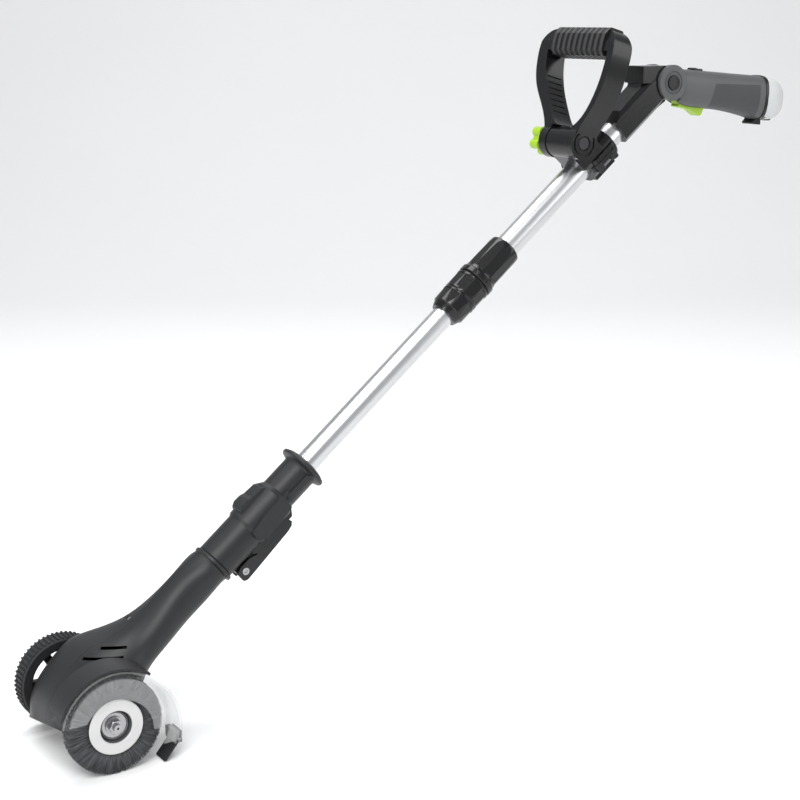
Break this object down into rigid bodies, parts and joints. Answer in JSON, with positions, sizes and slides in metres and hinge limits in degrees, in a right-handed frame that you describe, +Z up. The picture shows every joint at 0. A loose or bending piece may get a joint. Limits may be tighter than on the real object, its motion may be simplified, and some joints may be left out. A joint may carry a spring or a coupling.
{
  "type": "lawn edger",
  "caption": "Battery lawn edger: rotary brush with clear guard and guide wheel on a telescopic pole, tilting front handle, pivoting rear grip with trigger.",
  "frame": {"origin": "on the ground, under the wheel axle, on the pole's middle plane", "axes": "+Z up, +Y along the axle from the brush towards the guide wheel, -X forwards, so the grip is at +X"},
  "size_m": [0.995, 0.158, 0.7136],
  "materials": {
    "dark_plastic": "fine moulded texture",
    "black_plastic": "satin moulding",
    "grey_plastic": "fine moulded texture",
    "lime_plastic": "fine moulded texture",
    "hub_plastic": "satin moulding",
    "mid_plastic": "satin moulding",
    "pack_plastic": "milky, slightly translucent",
    "soft_rubber": "matt overmould",
    "tyre_rubber": "ribbed tread",
    "bristle": "dense bristle tips",
    "clear_guard": "clear moulded sheet",
    "tube_metal": "bright anodised",
    "black_steel": "black oxide",
    "steel": "zinc plated",
    "winding": "lacquered copper and laminations",
    "brass_gear": "machined",
    "cell_wrap": "shrink wrap"
  },
  "bodies": {
    "coupling": {"coupling_shell_left": "dark_plastic", "coupling_shell_right": "dark_plastic", "coupling_screws": "steel", "flange_collar": "dark_plastic", "lower_tube": "tube_metal", "latch_screw": "steel"},
    "latch": {"latch_lever": "dark_plastic"},
    "head": {"head_shell_left": "dark_plastic", "head_shell_right": "dark_plastic", "head_screws": "steel", "swivel_ring": "dark_plastic", "motor_can": "steel", "motor_bracket": "steel", "gearbox_frame": "black_plastic", "shaft_bearings": "steel", "brush_guard": "clear_guard", "guard_screws": "steel", "flap_clamp": "mid_plastic", "rubber_flap": "soft_rubber", "wheel_bolt": "steel"},
    "rotor": {"motor_rotor": "winding", "cooling_fan": "black_plastic", "drive_pinion": "brass_gear"},
    "brush": {"crown_gear": "brass_gear", "output_shaft": "steel", "brush_flange": "steel", "brush_core": "grey_plastic", "hub_disc": "hub_plastic", "brush_bristles": "bristle", "hub_washer": "steel", "hub_nut": "steel"},
    "guide_wheel": {"wheel_rim": "dark_plastic", "wheel_tyre": "tyre_rubber"},
    "upper_pole": {"upper_tube": "tube_metal", "collar_sleeve": "black_plastic", "collet": "black_plastic", "arm_shell_left": "black_plastic", "arm_shell_right": "black_plastic", "arm_screws": "steel"},
    "collar": {"collar_nut": "black_plastic"},
    "handle_clamp": {"clamp_body": "black_plastic", "clamp_jaw": "black_plastic", "clamp_screws": "steel", "tilt_bolt": "black_steel"},
    "front_handle": {"front_handle_frame": "black_plastic", "front_handle_sleeve": "soft_rubber"},
    "knob": {"star_knob": "lime_plastic"},
    "rear_grip": {"grip_shell_left": "grey_plastic", "grip_shell_right": "grey_plastic", "grip_overmould": "soft_rubber", "grip_screws": "steel", "tilt_pin": "steel", "switch_unit": "black_plastic", "end_plate": "black_plastic"},
    "grip_button": {"tilt_button": "black_plastic"},
    "trigger": {"trigger": "lime_plastic"},
    "lock_off": {"lock_off_slider": "black_plastic"},
    "battery": {"battery_pack": "pack_plastic", "battery_cells": "cell_wrap"},
    "catch": {"battery_catch": "black_plastic"}
  },
  "joints": [
    {"name": "head_swivel", "type": "hinge", "parent": "coupling", "child": "head", "pos_m": [0.14631, 0, 0.16806], "axis": [0.7782, 0, 0.628], "range_deg": [0, 90]},
    {"name": "brush_spin", "type": "hinge", "parent": "head", "child": "brush", "pos_m": [0, -0.065, 0.05], "axis": [0, 1, 0], "continuous": true},
    {"name": "rotor_spin", "type": "hinge", "parent": "head", "child": "rotor", "pos_m": [0.05448, 0, 0.09396], "axis": [0.7782, 0, 0.628], "continuous": true},
    {"name": "wheel_spin", "type": "hinge", "parent": "head", "child": "guide_wheel", "pos_m": [0, 0.067, 0.05], "axis": [0, 1, 0], "continuous": true},
    {"name": "latch_open", "type": "hinge", "parent": "coupling", "child": "latch", "pos_m": [0.17853, 0, 0.15679], "axis": [0, 1, 0], "range_deg": [0, 35]},
    {"name": "pole_slide", "type": "slide", "parent": "coupling", "child": "upper_pole", "axis": [0.7782, 0, 0.628], "range_m": [-0.17, 0.06]},
    {"name": "collar_twist", "type": "hinge", "parent": "upper_pole", "child": "collar", "pos_m": [0.45761, 0, 0.41924], "axis": [0.7782, 0, 0.628], "range_deg": [0, 120]},
    {"name": "clamp_slide", "type": "slide", "parent": "upper_pole", "child": "handle_clamp", "axis": [0.7782, 0, 0.628], "range_m": [-0.1, 0.014]},
    {"name": "handle_tilt", "type": "hinge", "parent": "handle_clamp", "child": "front_handle", "pos_m": [0.6038, 0, 0.58681], "axis": [0, 1, 0], "range_deg": [-75, 20]},
    {"name": "knob_turn", "type": "hinge", "parent": "handle_clamp", "child": "knob", "pos_m": [0.6038, 0.034, 0.58681], "axis": [0, -1, 0], "range_deg": [0, 360]},
    {"name": "grip_tilt", "type": "hinge", "parent": "upper_pole", "child": "rear_grip", "pos_m": [0.74791, 0, 0.65027], "axis": [0, 1, 0], "range_deg": [-46, 20]},
    {"name": "button_push", "type": "slide", "parent": "rear_grip", "child": "grip_button", "axis": [0, 1, 0], "range_m": [0, 0.0012], "stiffness_N_per_m": 600, "springref_m": -0.002},
    {"name": "trigger_pull", "type": "hinge", "parent": "rear_grip", "child": "trigger", "pos_m": [0.77161, 0, 0.62862], "axis": [0, -1, 0], "range_deg": [0, 9], "stiffness_Nm_per_rad": 0.6, "springref_deg": -8.59},
    {"name": "lock_off_slide", "type": "slide", "parent": "rear_grip", "child": "lock_off", "axis": [-0.9962, 0, 0.0872], "range_m": [0, 0.0036], "stiffness_N_per_m": 400, "springref_m": -0.002},
    {"name": "battery_slide", "type": "slide", "parent": "rear_grip", "child": "battery", "axis": [0.9962, 0, -0.0872], "range_m": [0, 0.05]},
    {"name": "catch_press", "type": "slide", "parent": "battery", "child": "catch", "axis": [0.0872, 0, 0.9962], "range_m": [0, 0.0015], "stiffness_N_per_m": 600, "springref_m": -0.002}
  ],
  "couplings": [
    {"joint": "rotor_spin", "follows": "brush_spin", "ratio": 3}
  ]
}
